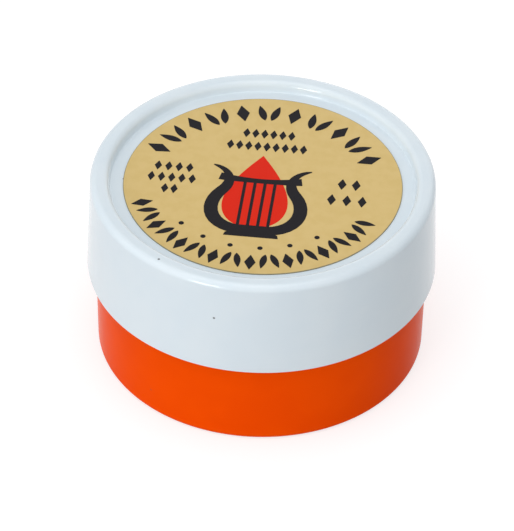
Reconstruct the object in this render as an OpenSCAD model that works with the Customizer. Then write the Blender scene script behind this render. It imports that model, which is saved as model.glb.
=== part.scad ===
// Round push-lid box with a cake of bow rosin in it.
//
// An orange cup holds the cake on a felt disc, between crush ribs. The white lid slides down
// over the cup's neck until its stop ribs stand on the neck's rim, and a foam cushion under its
// panel keeps the cake from rattling. A round paper label lies in the recess of the lid.
// Every piece is turned about Z. The origin is the centre of the foot, on the table, +Z is up,
// and +Y is the top of the label. Sizes are in millimetres and draft angles in degrees.

/* [Rosin cake] */
// Diameter of the cake at its foot
cake_d = 50; // [40:0.5:62]
// Thickness of the cake
cake_h = 22; // [17:0.5:27]
// Radius on the cake's upper edge
cake_round = 2; // [1:0.1:3]
// Radius on the cake's lower edge
cake_foot_round = 0.8; // [0.4:0.1:1.4]
// Mould draft on the side of the cake
cake_draft = 1; // [0:0.25:2]
// How far the cake stands above the rim of the cup, so that a bow hair clears the rim
cake_proud = 2.9; // [1.5:0.1:4]

/* [Cup] */
// Height of the neck that the lid slides over, from the shoulder to the rim of the cup
neck_h = 6.4; // [5:0.1:9]
// Wall of the neck that the lid slides over
cup_wall = 1.3; // [1.1:0.1:2]
// Width of the shoulder that the neck stands in from
shoulder_w = 0.4; // [0.3:0.1:1.2]
// Draft on the outside wall of the cup
cup_draft = 0.6; // [0.3:0.1:2.5]
// Thickness of the cup's floor
cup_floor = 1.6; // [1.2:0.1:2.5]
// Radius on the lower edge of the cup
foot_round = 0.9; // [0.4:0.1:1.2]
// Depth of the recess in the underside, inside the foot ring
foot_recess = 0.8; // [0.4:0.1:1.4]
// Width of the flat foot ring
foot_ring_w = 2; // [1.5:0.1:3]
// Number of crush ribs round the cake
crush_ribs = 8; // [6:1:12]
// Space between the cake and the wall of the cup
cake_gap = 1.8; // [1.5:0.1:3]

/* [Lid] */
// Wall of the lid's skirt
lid_wall = 1.4; // [1.2:0.1:2]
// Panel of the lid, under the label
lid_panel = 1.5; // [1.2:0.1:2.4]
// Draft of the lid's skirt
lid_draft = 2.4; // [1:0.1:3]
// Height of the raised rim above the label's floor
rim_h = 1.9; // [1.6:0.05:3]
// Radius on the outer edge of the rim
rim_round = 1.25; // [1:0.05:2.5]
// Width of the level crest of the rim
crest_w = 0.85; // [0.05:0.05:2]
// Radius on the inner edge of the rim
crest_round = 1.1; // [0.3:0.05:1.2]
// Slope of the rim's inner face
rim_slope = 78; // [60:1:88]
// Number of stop ribs that stand on the rim of the cup
stop_ribs = 12; // [8:1:16]

/* [Label and soft discs] */
// Thickness of the paper label
label_t = 0.15; // [0.1:0.05:0.3]
// Bare floor between the label and the foot of the rim
label_margin = 2.2; // [1:0.1:5]
// Thickness of the felt disc under the cake
felt_t = 1; // [0.8:0.1:2]
// How far the felt stands in from the edge of the cake
felt_inset = 1; // [0.5:0.1:3]
// Thickness of the foam cushion under the lid's panel
cushion_t = 5.25; // [2:0.25:8]
// How far the foam cushion stands in from the edge of the cake
cushion_inset = 3; // [2:0.5:6]

/* [Fits] */
// Gap all round between the neck's rim and the lid
lid_fit = 0.25; // [0.15:0.05:0.4]
// Open seam between the shoulder and the lower edge of the lid
seam = 0.3; // [0.2:0.05:0.6]
// Height of the click bead on the neck
bead_h = 0.2; // [0.1:0.05:0.25]
// Gap between the neck's bead and the lid's bead as they pass
bead_fit = 0.05; // [0.03:0.01:0.1]
// Gap between the cake and the ends of the crush ribs
rib_fit = 0.05; // [0.02:0.01:0.2]
// Gap between the cake and the foam cushion
cushion_fit = 0.4; // [0.3:0.1:1]

/* [Hidden] */

$fn = 128;
ARC_STEP = 7.5;      // angle of one chord on a rounded edge of a profile
BITE = 0.3;          // how deep a rib is rooted in the wall that carries it
RIB_W = 1.2;         // thickness of a crush rib or stop rib
SMALL_ROUND = 0.3;   // radius on moulded edges that are not styled
CORNER_ROUND = 1.2;  // radius in the inner corners of the shells
BEAD_ROUND = 0.6;    // radius of the click beads' section
BEAD_IN = 2;         // lid's bead above the lid's lower edge
BEAD_PITCH = 1.5;    // neck's bead above the lid's bead
RIB_DROP = 2;        // top of the crush ribs below the rim of the cup
CUT = 1;             // how far a cutting shape runs past the face it opens

// Heights, from the table up.
floor_z = foot_recess + cup_floor;
cake_z = floor_z + felt_t;
cake_top = cake_z + cake_h;
rim_z = cake_top - cake_proud;
cup_h = rim_z - neck_h;
mouth_z = cup_h + seam;
cushion_z = cake_top + cushion_fit;
panel_z = cushion_z + cushion_t;
label_z = panel_z + lid_panel;
lid_top = label_z + rim_h;
lid_bead_z = mouth_z + BEAD_IN;
neck_bead_z = lid_bead_z + BEAD_PITCH;

// Radii, from the cake out.
cake_r = cake_d / 2;
cup_in_r = cake_r + cake_gap;
neck_r = cup_in_r + cup_wall;
shoulder_r = neck_r + shoulder_w;
mouth_in_r = neck_r + lid_fit + tan(lid_draft) * (rim_z - mouth_z);
mouth_r = mouth_in_r + lid_wall;
bead_tip_r = neck_r + bead_h;

// The raised rim, from its outer round in to the recess for the label.
rim_base_z = lid_top - rim_round;
crest_r = skirt_r(mouth_r, rim_base_z) - rim_round / cos(lid_draft) - crest_w;
slope_h = rim_h - crest_round * (1 - cos(rim_slope));
recess_r = crest_r - crest_round * sin(rim_slope) - slope_h / tan(rim_slope);
label_r = recess_r - label_margin;

// Radius of the lid's drafted wall at height z, from its radius at the mouth.
function skirt_r(at_mouth, z) = at_mouth - tan(lid_draft) * (z - mouth_z);

// Points of an arc in a profile, about [x, z], from angle a0 to a1.
function arc(x, z, r, a0, a1) =
    let (n = max(2, ceil(abs(a1 - a0) / ARC_STEP)))
    [for (i = [0:n]) let (a = a0 + (a1 - a0) * i / n) [x + r * cos(a), z + r * sin(a)]];

// Rounded upper outer edge of a wall with that draft: the wall has radius r at the height of
// the edge's centre, and the edge ends level at height top.
function top_edge(r, top, draft, round) =
    arc(r - round / cos(draft), top - round, round, draft, 90);

// Profile of a solid plug with a drafted side and a rounded upper edge, standing on z = 0.
function plug(r, h, draft, round) = concat(
    [[0, 0], [r, 0]],
    top_edge(r - tan(draft) * (h - round), h, draft, round),
    [[0, h]]
);

// One thin rib in the X-Z plane, from radius r0 to r1 and height z0 to z1.
module rib(r0, r1, z0, z1) {
    translate([r0, -RIB_W / 2, z0]) cube([r1 - r0, RIB_W, z1 - z0]);
}

// Repeats its child evenly about Z.
module around(count) {
    for (i = [0:count - 1]) rotate(i * 360 / count) children();
}

// Ring of round section about Z.
module bead(r, z) {
    rotate_extrude() translate([r, z]) circle(r = BEAD_ROUND);
}

module cup_outside() {
    translate([0, 0, cup_h]) mirror([0, 0, 1])
        rotate_extrude() polygon(plug(shoulder_r, cup_h, cup_draft, foot_round));
    translate([0, 0, cup_h - BITE])
        rotate_extrude() polygon(plug(neck_r, rim_z - cup_h + BITE, 0, SMALL_ROUND));
    bead(bead_tip_r - BEAD_ROUND, neck_bead_z);
}

// Hollow of the cup: a round-cornered bore from the floor out through the rounded lip.
module cup_hollow() {
    rotate_extrude() polygon(concat(
        [[0, floor_z]],
        arc(cup_in_r - CORNER_ROUND, floor_z + CORNER_ROUND, CORNER_ROUND, -90, 0),
        arc(cup_in_r + SMALL_ROUND, rim_z - SMALL_ROUND, SMALL_ROUND, 180, 90),
        [[cup_in_r + SMALL_ROUND, rim_z + CUT], [0, rim_z + CUT]]
    ));
}

// Recess in the underside, with a drafted side, that leaves the flat foot ring.
module foot_hollow() {
    ring_in_r = shoulder_r - tan(cup_draft) * cup_h - foot_round - foot_ring_w;
    top_r = ring_in_r - foot_recess / 2;
    translate([0, 0, -CUT]) rotate_extrude() polygon([
        [0, 0], [ring_in_r, 0], [ring_in_r, CUT], [top_r, CUT + foot_recess], [0, CUT + foot_recess]
    ]);
}

module base_cup() {
    color([0.91, 0.30, 0.02]) union() {
        difference() {
            cup_outside();
            cup_hollow();
            foot_hollow();
        }
        around(crush_ribs)
            rib(cake_r + rib_fit, cup_in_r + BITE, floor_z - BITE, rim_z - RIB_DROP);
    }
}

module cake_felt() {
    color([0.32, 0.33, 0.36]) translate([0, 0, floor_z])
        cylinder(r = cake_r - felt_inset, h = felt_t);
}

module rosin_cake() {
    foot = arc(cake_r - cake_foot_round, cake_foot_round, cake_foot_round, -90, 0);
    shoulder = top_edge(cake_r - tan(cake_draft) * cake_h, cake_h, cake_draft, cake_round);
    color([0.35, 0.13, 0.03]) translate([0, 0, cake_z])
        rotate_extrude() polygon(concat([[0, 0]], foot, shoulder, [[0, cake_h]]));
}

// Outside of the lid: skirt, rounded rim, sloped inner face and the floor that the label is on.
module lid_outside() {
    crease_r = recess_r - SMALL_ROUND * tan(rim_slope / 2);
    rotate_extrude() polygon(concat(
        [[0, mouth_z]],
        arc(mouth_r - SMALL_ROUND, mouth_z + SMALL_ROUND, SMALL_ROUND, -90, 0),
        top_edge(skirt_r(mouth_r, rim_base_z), lid_top, lid_draft, rim_round),
        arc(crest_r, lid_top - crest_round, crest_round, 90, 90 + rim_slope),
        arc(crease_r, label_z + SMALL_ROUND, SMALL_ROUND, rim_slope - 90, -90),
        [[0, label_z]]
    ));
}

// Hollow of the lid, which slides over the neck.
module lid_hollow() {
    edge_z = panel_z - CORNER_ROUND;
    rotate_extrude() polygon(concat(
        [[0, mouth_z - CUT], [mouth_in_r + SMALL_ROUND, mouth_z - CUT]],
        arc(mouth_in_r + SMALL_ROUND, mouth_z + SMALL_ROUND, SMALL_ROUND, 270, 180),
        top_edge(skirt_r(mouth_in_r, edge_z), panel_z, lid_draft, CORNER_ROUND),
        [[0, panel_z]]
    ));
}

module lid_shell() {
    color([0.86, 0.90, 0.92]) union() {
        difference() {
            lid_outside();
            lid_hollow();
        }
        around(stop_ribs)
            rib(cup_in_r, skirt_r(mouth_in_r, rim_z) + BITE, rim_z, panel_z + BITE);
        bead(bead_tip_r + bead_fit + BEAD_ROUND, lid_bead_z);
    }
}

module lid_cushion() {
    color([0.20, 0.20, 0.21]) translate([0, 0, cushion_z])
        cylinder(r = cake_r - cushion_inset, h = cushion_t);
}

module top_label() {
    color([0.80, 0.68, 0.38]) translate([0, 0, label_z])
        cylinder(r = label_r, h = label_t);
}

base_cup();
cake_felt();
rosin_cake();
lid_shell();
lid_cushion();
top_label();
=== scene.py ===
"""Looks of a round push-lid box that holds a cake of bow rosin.

The box is an orange cup with a white lid, and a gold label lies in the lid's recess. Inside are
the cake on a felt disc and a foam cushion under the lid's panel. Lengths are in millimetres and
angles in degrees until a mesh is written, which holds metres. The box stands on z = 0 with its
axis on Z, and +Y is the top of the label.
"""

import logging
from dataclasses import dataclass
from enum import Enum
from functools import cached_property
from typing import Any, Iterable

import bpy
import numpy as np
from mathutils import Matrix, Vector


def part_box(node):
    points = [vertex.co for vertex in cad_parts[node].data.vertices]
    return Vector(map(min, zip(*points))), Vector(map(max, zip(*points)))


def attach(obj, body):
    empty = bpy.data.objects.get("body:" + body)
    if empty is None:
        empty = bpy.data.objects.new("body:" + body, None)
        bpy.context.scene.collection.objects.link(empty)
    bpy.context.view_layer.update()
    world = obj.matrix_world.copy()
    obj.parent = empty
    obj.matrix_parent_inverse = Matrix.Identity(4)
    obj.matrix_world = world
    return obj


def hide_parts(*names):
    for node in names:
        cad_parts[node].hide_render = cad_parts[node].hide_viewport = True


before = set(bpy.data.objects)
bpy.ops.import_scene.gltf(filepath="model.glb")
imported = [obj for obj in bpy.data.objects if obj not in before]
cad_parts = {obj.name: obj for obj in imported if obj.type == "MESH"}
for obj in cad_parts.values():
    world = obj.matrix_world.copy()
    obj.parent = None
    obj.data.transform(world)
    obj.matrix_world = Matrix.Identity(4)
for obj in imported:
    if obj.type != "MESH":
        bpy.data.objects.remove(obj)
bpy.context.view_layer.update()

MM = 0.001
TURN = 2 * np.pi
LOG = logging.getLogger("rosin_box")

# Both mouldings: the distance between rows of points, and a rib's width and rounded end. The last
# is how near two heights are that count as one.
ROW_GAP = 1.6
RIB_W = 1.2
RIB_END = 0.3
NEAR = 1e-6

Array = np.ndarray
Colour = tuple[float, float, float]
Mark = tuple[Array, Array]


class Body(Enum):
    """The two rigid bodies that the pieces ride on."""

    BASE = "base"
    LID = "lid"


def srgb(red: float, green: float, blue: float) -> Colour:
    """Turns display values from 0 to 255 into the linear colour that a shader takes.

    Args:
        red: Display value of red.
        green: Display value of green.
        blue: Display value of blue.

    Returns:
        The linear colour.
    """
    shown = np.array([red, green, blue]) / 255
    linear = np.where(shown <= 0.04045, shown / 12.92, ((shown + 0.055) / 1.055) ** 2.4)
    return tuple(float(c) for c in linear)


def ease(low: float, high: float, x: Array) -> Array:
    """Rises smoothly from 0 at low to 1 at high: 3 t squared less 2 t cubed, t cut to 0..1."""
    t = np.clip((x - low) / (high - low), 0, 1)
    return t * t * (3 - 2 * t)


def squarish(x: Array, power: int) -> Array:
    """Falls from 1 at 0 to 0 at 1 round a tight corner: the nth root of 1 less x to the nth."""
    return (1 - np.clip(x, 0, 1) ** power) ** (1 / power)


def direction(azimuth: float, elevation: float) -> Vector:
    """Unit vector from the box towards a viewer at these angles: azimuth 0 stands on -Y."""
    a, e = np.radians(azimuth), np.radians(elevation)
    return Vector((np.sin(a) * np.cos(e), -np.cos(a) * np.cos(e), np.sin(e)))


def stand(name: str, data: bpy.types.ID) -> bpy.types.Object:
    """Puts a mesh, a lamp or a camera into the scene as an object at the origin.

    Args:
        name: The object's name.
        data: The mesh, lamp or camera.

    Returns:
        The object.
    """
    thing = bpy.data.objects.new(name, data)
    bpy.context.scene.collection.objects.link(thing)
    return thing


# ---------------------------------------------------------------------------------- materials


class Signal:
    """A number that varies over a surface: a node's socket that takes part in arithmetic."""

    def __init__(self, graph: "Graph", socket: bpy.types.NodeSocket) -> None:
        """Keeps the socket and the graph that it is in."""
        self.graph = graph
        self.socket = socket

    def _math(self, operation: str, *values: Any) -> "Signal":
        """Adds one Math node.

        Args:
            operation: The Math node's operation.
            values: Its inputs in order, as numbers or signals.

        Returns:
            The node's result.
        """
        node = self.graph.add("Math", {"operation": operation}, dict(enumerate(values)))
        return Signal(self.graph, node.outputs[0])

    def __add__(self, other: Any) -> "Signal":
        """Sum of this and a number or signal."""
        return self._math("ADD", self, other)

    def __sub__(self, other: Any) -> "Signal":
        """This less a number or signal."""
        return self._math("SUBTRACT", self, other)

    def __rsub__(self, other: Any) -> "Signal":
        """A number less this."""
        return self._math("SUBTRACT", other, self)

    def __mul__(self, other: Any) -> "Signal":
        """Product of this and a number or signal."""
        return self._math("MULTIPLY", self, other)

    __radd__ = __add__
    __rmul__ = __mul__

    def at_most(self, other: Any) -> "Signal":
        """The lesser of this and a number or signal."""
        return self._math("MINIMUM", self, other)

    def between(self, low: float, high: float) -> "Signal":
        """Rises smoothly from 0 where this is low to 1 where it is high, or falls if low is more.

        Args:
            low: Where the result is 0.
            high: Where the result is 1.

        Returns:
            The result.
        """
        settings = {"interpolation_type": "SMOOTHSTEP"}
        inputs = {"Value": self, "From Min": low, "From Max": high}
        return Signal(self.graph, self.graph.add("MapRange", settings, inputs).outputs["Result"])


class Graph:
    """Node tree of a material or of the surroundings. Every node comes from the add method."""

    def __init__(self, owner: bpy.types.Material | bpy.types.World) -> None:
        """Starts an empty tree.

        Args:
            owner: What the tree belongs to.
        """
        owner.use_nodes = True
        self.owner = owner
        self.tree = owner.node_tree
        self.tree.nodes.clear()

    @classmethod
    def named(cls, name: str) -> "Graph":
        """Starts a new material with that name."""
        return cls(bpy.data.materials.new(name))

    @cached_property
    def place(self) -> bpy.types.NodeSocket:
        """Place on the piece in metres. Its node is added when it is first asked for."""
        return self.add("TexCoord").outputs["Object"]

    def add(self, kind: str, settings: dict | None = None,
            inputs: dict | None = None) -> bpy.types.Node:
        """Adds one node, sets its settings first and then its sockets.

        Args:
            kind: The node's type, without the ShaderNode in front.
            settings: Attributes of the node by name, such as a Math node's operation.
            inputs: Values, signals or sockets, by the input's name or place.

        Returns:
            The node.
        """
        node = self.tree.nodes.new("ShaderNode" + kind)
        for key, value in (settings or {}).items():
            setattr(node, key, value)
        for key, value in (inputs or {}).items():
            self.feed(node.inputs[key], value)
        return node

    def feed(self, socket: bpy.types.NodeSocket, value: Any) -> None:
        """Links a signal or a socket to an input, or sets the input's own value.

        Args:
            socket: The input.
            value: A signal, a socket, a number or a colour.
        """
        if isinstance(value, Signal):
            value = value.socket
        if isinstance(value, bpy.types.NodeSocket):
            self.tree.links.new(value, socket)
        elif isinstance(value, tuple) and socket.type == "RGBA":
            socket.default_value = (*value, 1.0)
        else:
            socket.default_value = value

    def noise(self, size: float, detail: float = 3.0, rough: float = 0.5) -> Signal:
        """Cloudy noise about 0.5.

        Args:
            size: Width of one cloud in millimetres.
            detail: Octaves of finer clouds.
            rough: Strength of each octave next to the last.

        Returns:
            The noise.
        """
        scale = 1 / (size * MM)
        inputs = {"Vector": self.place, "Scale": scale, "Detail": detail, "Roughness": rough}
        return Signal(self, self.add("TexNoise", {}, inputs).outputs[0])

    def cells(self, size: float, feature: str = "F1") -> Signal:
        """Distance to the nearest of a scatter of points, as a share of the spacing.

        Args:
            size: Spacing of the points in millimetres.
            feature: The Voronoi node's feature, which can be the distance to the cells' edges.

        Returns:
            The distance.
        """
        inputs = {"Vector": self.place, "Scale": 1 / (size * MM)}
        return Signal(self, self.add("TexVoronoi", {"feature": feature}, inputs).outputs["Distance"])

    def scratches(self, angle: float, size: float, stretch: float) -> Signal:
        """Noise drawn out along one direction in the X-Y plane, for fine scratches.

        Args:
            angle: Direction of the scratches from +X.
            size: Width of a scratch in millimetres.
            stretch: Its length over its width.

        Returns:
            The noise.
        """
        turn, drawn_out = (0, 0, -np.radians(angle)), (1 / stretch, 1, 1)
        turned = {"Vector": self.place, "Rotation": turn, "Scale": drawn_out}
        lines = self.add("Mapping", {}, turned).outputs[0]
        inputs = {"Vector": lines, "Scale": 1 / (size * MM), "Detail": 2.0}
        return Signal(self, self.add("TexNoise", {}, inputs).outputs[0])

    def attribute(self, name: str) -> Signal:
        """A number that the mesh holds at each of its points."""
        return Signal(self, self.add("Attribute", {"attribute_name": name}).outputs["Fac"])

    def radius(self) -> Signal:
        """Length of the place's X and Y together.

        Returns:
            The distance from the axis in millimetres.
        """
        flat = self.add("VectorMath", {"operation": "MULTIPLY"}, {0: self.place, 1: (1, 1, 0)})
        length = self.add("VectorMath", {"operation": "LENGTH"}, {0: flat.outputs[0]})
        return Signal(self, length.outputs["Value"]) * (1 / MM)

    def blend(self, share: Signal, first: Any, second: Any) -> bpy.types.NodeSocket:
        """Mixes two colours.

        Args:
            share: 0 for the first colour and 1 for the second.
            first: A colour or a socket.
            second: A colour or a socket.

        Returns:
            The mixed colour's socket.
        """
        node = self.add("Mix", {"data_type": "RGBA"})
        self.feed(node.inputs["Factor"], share)
        self.feed(node.inputs[6], first)
        self.feed(node.inputs[7], second)
        return node.outputs[2]

    def bump(self, rise: Signal, depth: float) -> bpy.types.NodeSocket:
        """Normal of a surface that a signal raises.

        Args:
            rise: The signal.
            depth: Height in millimetres where the signal is 1.

        Returns:
            The normal's socket.
        """
        inputs = {"Height": rise, "Distance": depth * MM, "Strength": 1.0}
        return self.add("Bump", {}, inputs).outputs[0]

    def surface(self, inputs: dict) -> bpy.types.Material:
        """Ends the tree with a Principled shader.

        Args:
            inputs: The shader's inputs by name.

        Returns:
            The finished material.
        """
        shader = self.add("BsdfPrincipled", {}, inputs)
        self.add("OutputMaterial", {}, {"Surface": shader.outputs[0]})
        return self.owner


@dataclass(frozen=True)
class MouldedPlastic:
    """Injection-moulded plastic: faint clouds, scuffed edges, hairlines and a few dark specks."""

    name: str
    colour: Colour
    cloud: Colour
    scuff: Colour
    roughness: float
    specular: float
    subsurface: float
    specks: float
    dirt: Colour = srgb(96, 98, 100)
    scuffed: float = 0.55
    dulled: float = 0.18
    ripple: float = 0.005
    glow_depth: float = 0.6

    def build(self) -> bpy.types.Material:
        """Makes the material.

        Returns:
            The material.
        """
        graph = Graph.named(self.name)
        wear = graph.attribute("wear") * graph.noise(0.7, 4.0).between(0.42, 0.66)
        hairlines = graph.scratches(25, 0.05, 60).between(0.74, 0.84)
        crossing = graph.scratches(-52, 0.06, 45).between(0.75, 0.85)
        clouds = graph.noise(9.0, 2.0).between(0.35, 0.65)
        marks = (hairlines + crossing).at_most(1.0) * 0.35
        worn = (wear + marks * 0.15).at_most(1.0)
        patches = graph.noise(20.0, 1.0).between(0.42, 0.46)
        specks = graph.cells(6.0).between(0.045, 0.025) * patches
        body = graph.blend(clouds, self.colour, self.cloud)
        body = graph.blend(worn * self.scuffed, body, self.scuff)
        gloss = self.roughness + worn * self.dulled + (graph.noise(2.5) - 0.5) * 0.06
        peel = graph.noise(0.9, 2.0) + graph.noise(0.16, 1.0) * 0.22 - marks * 0.3 - specks * 4.0
        return graph.surface({
            "Base Color": graph.blend(specks * self.specks, body, self.dirt),
            "Roughness": gloss,
            "Normal": graph.bump(peel, self.ripple),
            "Specular IOR Level": self.specular,
            "Subsurface Weight": self.subsurface,
            "Subsurface Radius": (1.0, 1.0, 1.0),
            "Subsurface Scale": self.glow_depth * MM,
        })


@dataclass(frozen=True)
class CastRosin:
    """Dark amber rosin: glassy where it was cast, powdery in fine strokes where the bow runs."""

    name: str = "cast_rosin"
    deep: Colour = srgb(172, 66, 5)
    amber: Colour = srgb(220, 112, 14)
    powder: Colour = srgb(240, 222, 190)
    coat: float = 0.08
    relief: float = 0.02
    glow_depth: float = 3.0

    def build(self) -> bpy.types.Material:
        """Makes the material.

        Returns:
            The material.
        """
        graph = Graph.named(self.name)
        run, chip = graph.attribute("bow_run"), graph.attribute("chip")
        strokes = graph.scratches(0, 0.07, 160)
        swirl = graph.noise(14.0, 2.0, 0.45).between(0.30, 0.72)
        body = graph.blend(swirl * 0.3, self.deep, self.amber)
        body = graph.blend(chip * 0.4, body, self.amber)
        patches = graph.noise(6.0).between(0.40, 0.62)
        dust = graph.noise(0.25, 4.0, 0.6).between(0.55, 0.75) * patches
        rubbed = run * strokes.between(0.50, 0.68) * 0.55
        powder = (rubbed + run * 0.10 + dust * 0.12).at_most(0.75)
        gloss = 0.10 + run * 0.36 + graph.noise(3.0).between(0.4, 0.7) * 0.05 + dust * 0.2
        bubbles = graph.cells(1.9).between(0.10, 0.0) * graph.noise(5.0).between(0.5, 0.6)
        relief = strokes * run * 0.4 + graph.noise(1.8) * 0.2 - bubbles * 1.2
        return graph.surface({
            "Base Color": graph.blend(powder, body, self.powder),
            "Roughness": gloss,
            "Normal": graph.bump(relief, self.relief),
            "Coat Weight": self.coat - run * self.coat,
            "Coat Roughness": 0.05,
            "Specular IOR Level": 0.15,
            "Subsurface Weight": 0.5,
            "Subsurface Radius": (1.0, 0.30, 0.06),
            "Subsurface Scale": self.glow_depth * MM,
        })


@dataclass(frozen=True)
class PressedFelt:
    """Grey wool felt: matted fibres with paler and darker hairs."""

    name: str = "pressed_felt"
    dark: Colour = srgb(74, 77, 84)
    pale: Colour = srgb(128, 131, 138)
    nap: float = 0.10

    def build(self) -> bpy.types.Material:
        """Makes the material.

        Returns:
            The material.
        """
        graph = Graph.named(self.name)
        hairs = graph.scratches(20, 0.06, 22) * 0.5 + graph.scratches(-65, 0.07, 20) * 0.5
        mat = graph.noise(0.8, 5.0, 0.65)
        tone = (hairs * 0.6 + mat * 0.4).between(0.36, 0.64)
        return graph.surface({
            "Base Color": graph.blend(tone, self.dark, self.pale),
            "Roughness": 0.94 - tone * 0.06,
            "Normal": graph.bump(hairs + mat, self.nap),
            "Sheen Weight": 0.35,
            "Sheen Roughness": 0.5,
            "Specular IOR Level": 0.2,
        })


@dataclass(frozen=True)
class OpenCellFoam:
    """Charcoal foam: open cells between thin struts, with a little rosin dust pressed in."""

    name: str = "open_cell_foam"
    strut: Colour = srgb(74, 74, 78)
    # Painted shade: the near-black of the open cells stands for the shade inside them; the struts
    # keep the foam's own charcoal.
    pore_shade: Colour = srgb(22, 22, 25)
    dust: Colour = srgb(176, 160, 134)
    depth: float = 0.16

    def build(self) -> bpy.types.Material:
        """Makes the material.

        Returns:
            The material.
        """
        graph = Graph.named(self.name)
        struts = 1 - graph.cells(0.55, "DISTANCE_TO_EDGE").between(0.02, 0.22)
        fine = 1 - graph.cells(0.24, "DISTANCE_TO_EDGE").between(0.02, 0.25)
        web = struts * 0.65 + fine * 0.35
        patches = graph.noise(4.0, 4.0, 0.6).between(0.56, 0.78)
        dusty = patches * graph.attribute("dust") * struts
        # The cells take the painted shade colour, the struts the foam's charcoal.
        body = graph.blend(web, self.pore_shade, self.strut)
        return graph.surface({
            "Base Color": graph.blend(dusty * 0.5, body, self.dust),
            "Roughness": 0.9 - struts * 0.1,
            "Normal": graph.bump(web, self.depth),
            "Specular IOR Level": 0.25,
        })


@dataclass(frozen=True)
class LabelPaper:
    """Gold-printed paper with a satin skin, rougher at its cut edge, where a grey-brown line is
    painted shade.
    """

    edge_r: float
    name: str = "label_paper"
    gold: Colour = srgb(217, 188, 122)
    deep: Colour = srgb(212, 182, 113)
    # Painted shade: a grey-brown line along the label's edge, where it meets the recess floor.
    edge_shade: Colour = srgb(148, 138, 108)
    dull_from: float = 0.14
    dull_to: float = 0.06
    relief: float = 0.012

    def build(self) -> bpy.types.Material:
        """Makes the material.

        Returns:
            The material.
        """
        graph = Graph.named(self.name)
        fibres = graph.noise(0.22, 4.0, 0.6)
        mottle = graph.noise(2.2, 4.0, 0.55).between(0.36, 0.66)
        ink = graph.blend(mottle * 0.7 + fibres * 0.2, self.gold, self.deep)
        # A band at the cut edge: the paper is rougher there, and its colour goes to the painted
        # shade line.
        reach = graph.radius() + (graph.noise(0.5) - 0.5) * 0.08
        cut_edge_and_shade = reach.between(self.edge_r - self.dull_from, self.edge_r - self.dull_to)
        hollows = graph.noise(6.0, 2.0)
        return graph.surface({
            "Base Color": graph.blend(cut_edge_and_shade, ink, self.edge_shade),
            "Roughness": 0.44 + (fibres - 0.5) * 0.12 + cut_edge_and_shade * 0.3,
            "Normal": graph.bump(fibres * 0.25 + hollows, self.relief),
            "Specular IOR Level": 0.25,
        })


@dataclass(frozen=True)
class PrintInk:
    """Flat label ink: a little smoother than the paper, thin where the paper's fibres lift it."""

    name: str
    colour: Colour
    thin: Colour
    relief: float = 0.004

    def build(self) -> bpy.types.Material:
        """Makes the material.

        Returns:
            The material.
        """
        graph = Graph.named(self.name)
        fibres = graph.noise(0.20, 4.0, 0.6)
        lifted = fibres.between(0.58, 0.80) * 0.5
        return graph.surface({
            "Base Color": graph.blend(lifted, self.colour, self.thin),
            "Roughness": 0.36 + (fibres - 0.5) * 0.16,
            "Normal": graph.bump(fibres, self.relief),
            "Specular IOR Level": 0.08,
        })


Finish = MouldedPlastic | CastRosin | PressedFelt | OpenCellFoam | LabelPaper | PrintInk

LID_WHITE = MouldedPlastic(
    "lid_plastic", colour=srgb(220, 230, 236), cloud=srgb(217, 228, 235), scuff=srgb(230, 236, 240),
    roughness=0.14, specular=0.45, subsurface=0.12, specks=0.9)
CUP_ORANGE = MouldedPlastic(
    "cup_plastic", colour=srgb(248, 79, 0), cloud=srgb(245, 76, 0), scuff=srgb(242, 108, 44),
    roughness=0.24, specular=0.012, subsurface=0.0, specks=0.3)
BLACK_INK = PrintInk("black_ink", colour=srgb(22, 19, 24), thin=srgb(52, 47, 42))
RED_INK = PrintInk("red_ink", colour=srgb(222, 34, 4), thin=srgb(226, 70, 26))


# ----------------------------------------------------------------------------------- surfaces


def arc(x: float, z: float, radius: float, start: float, stop: float, step: float = 9.0) -> Array:
    """Points of a round stretch: the centre plus the radius times cosine and sine of the angle.

    Args:
        x: Centre's distance from the axis.
        z: Centre's height.
        radius: Radius of the arc.
        start: First angle, from the direction away from the axis.
        stop: Last angle.
        step: Largest angle between two points.

    Returns:
        One row of x and z for each point.
    """
    count = int(np.ceil(abs(stop - start) / step)) + 1
    angle = np.radians(np.linspace(start, stop, max(count, 3)))
    return np.column_stack([x + radius * np.cos(angle), z + radius * np.sin(angle)])


def held(profile: Array, longest: float, hold: float = 0.07) -> Array:
    """Adds points to a profile's straight stretches, so that smooth shading keeps them straight.

    A point stands a short way in from each end of a long stretch, and others follow at even
    distances along the profile. They are placed by their distance along it.

    Args:
        profile: The profile's points.
        longest: Largest distance between two points.
        hold: Distance of the first point from the end of its stretch.

    Returns:
        The profile with the points added.
    """
    step = np.hypot(*np.diff(profile, axis=0).T)
    run = np.concatenate([[0.0], np.cumsum(step)])
    wide = step > 3 * hold
    near = np.concatenate([run[:-1][wide] + hold, run[1:][wide] - hold])
    even = np.arange(longest, run[-1], longest)
    fixed = np.concatenate([run, near])
    even = even[np.abs(even[:, None] - fixed).min(axis=1) > hold]
    where = np.unique(np.concatenate([fixed, even]))
    return np.column_stack([np.interp(where, run, profile[:, k]) for k in (0, 1)])


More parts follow.
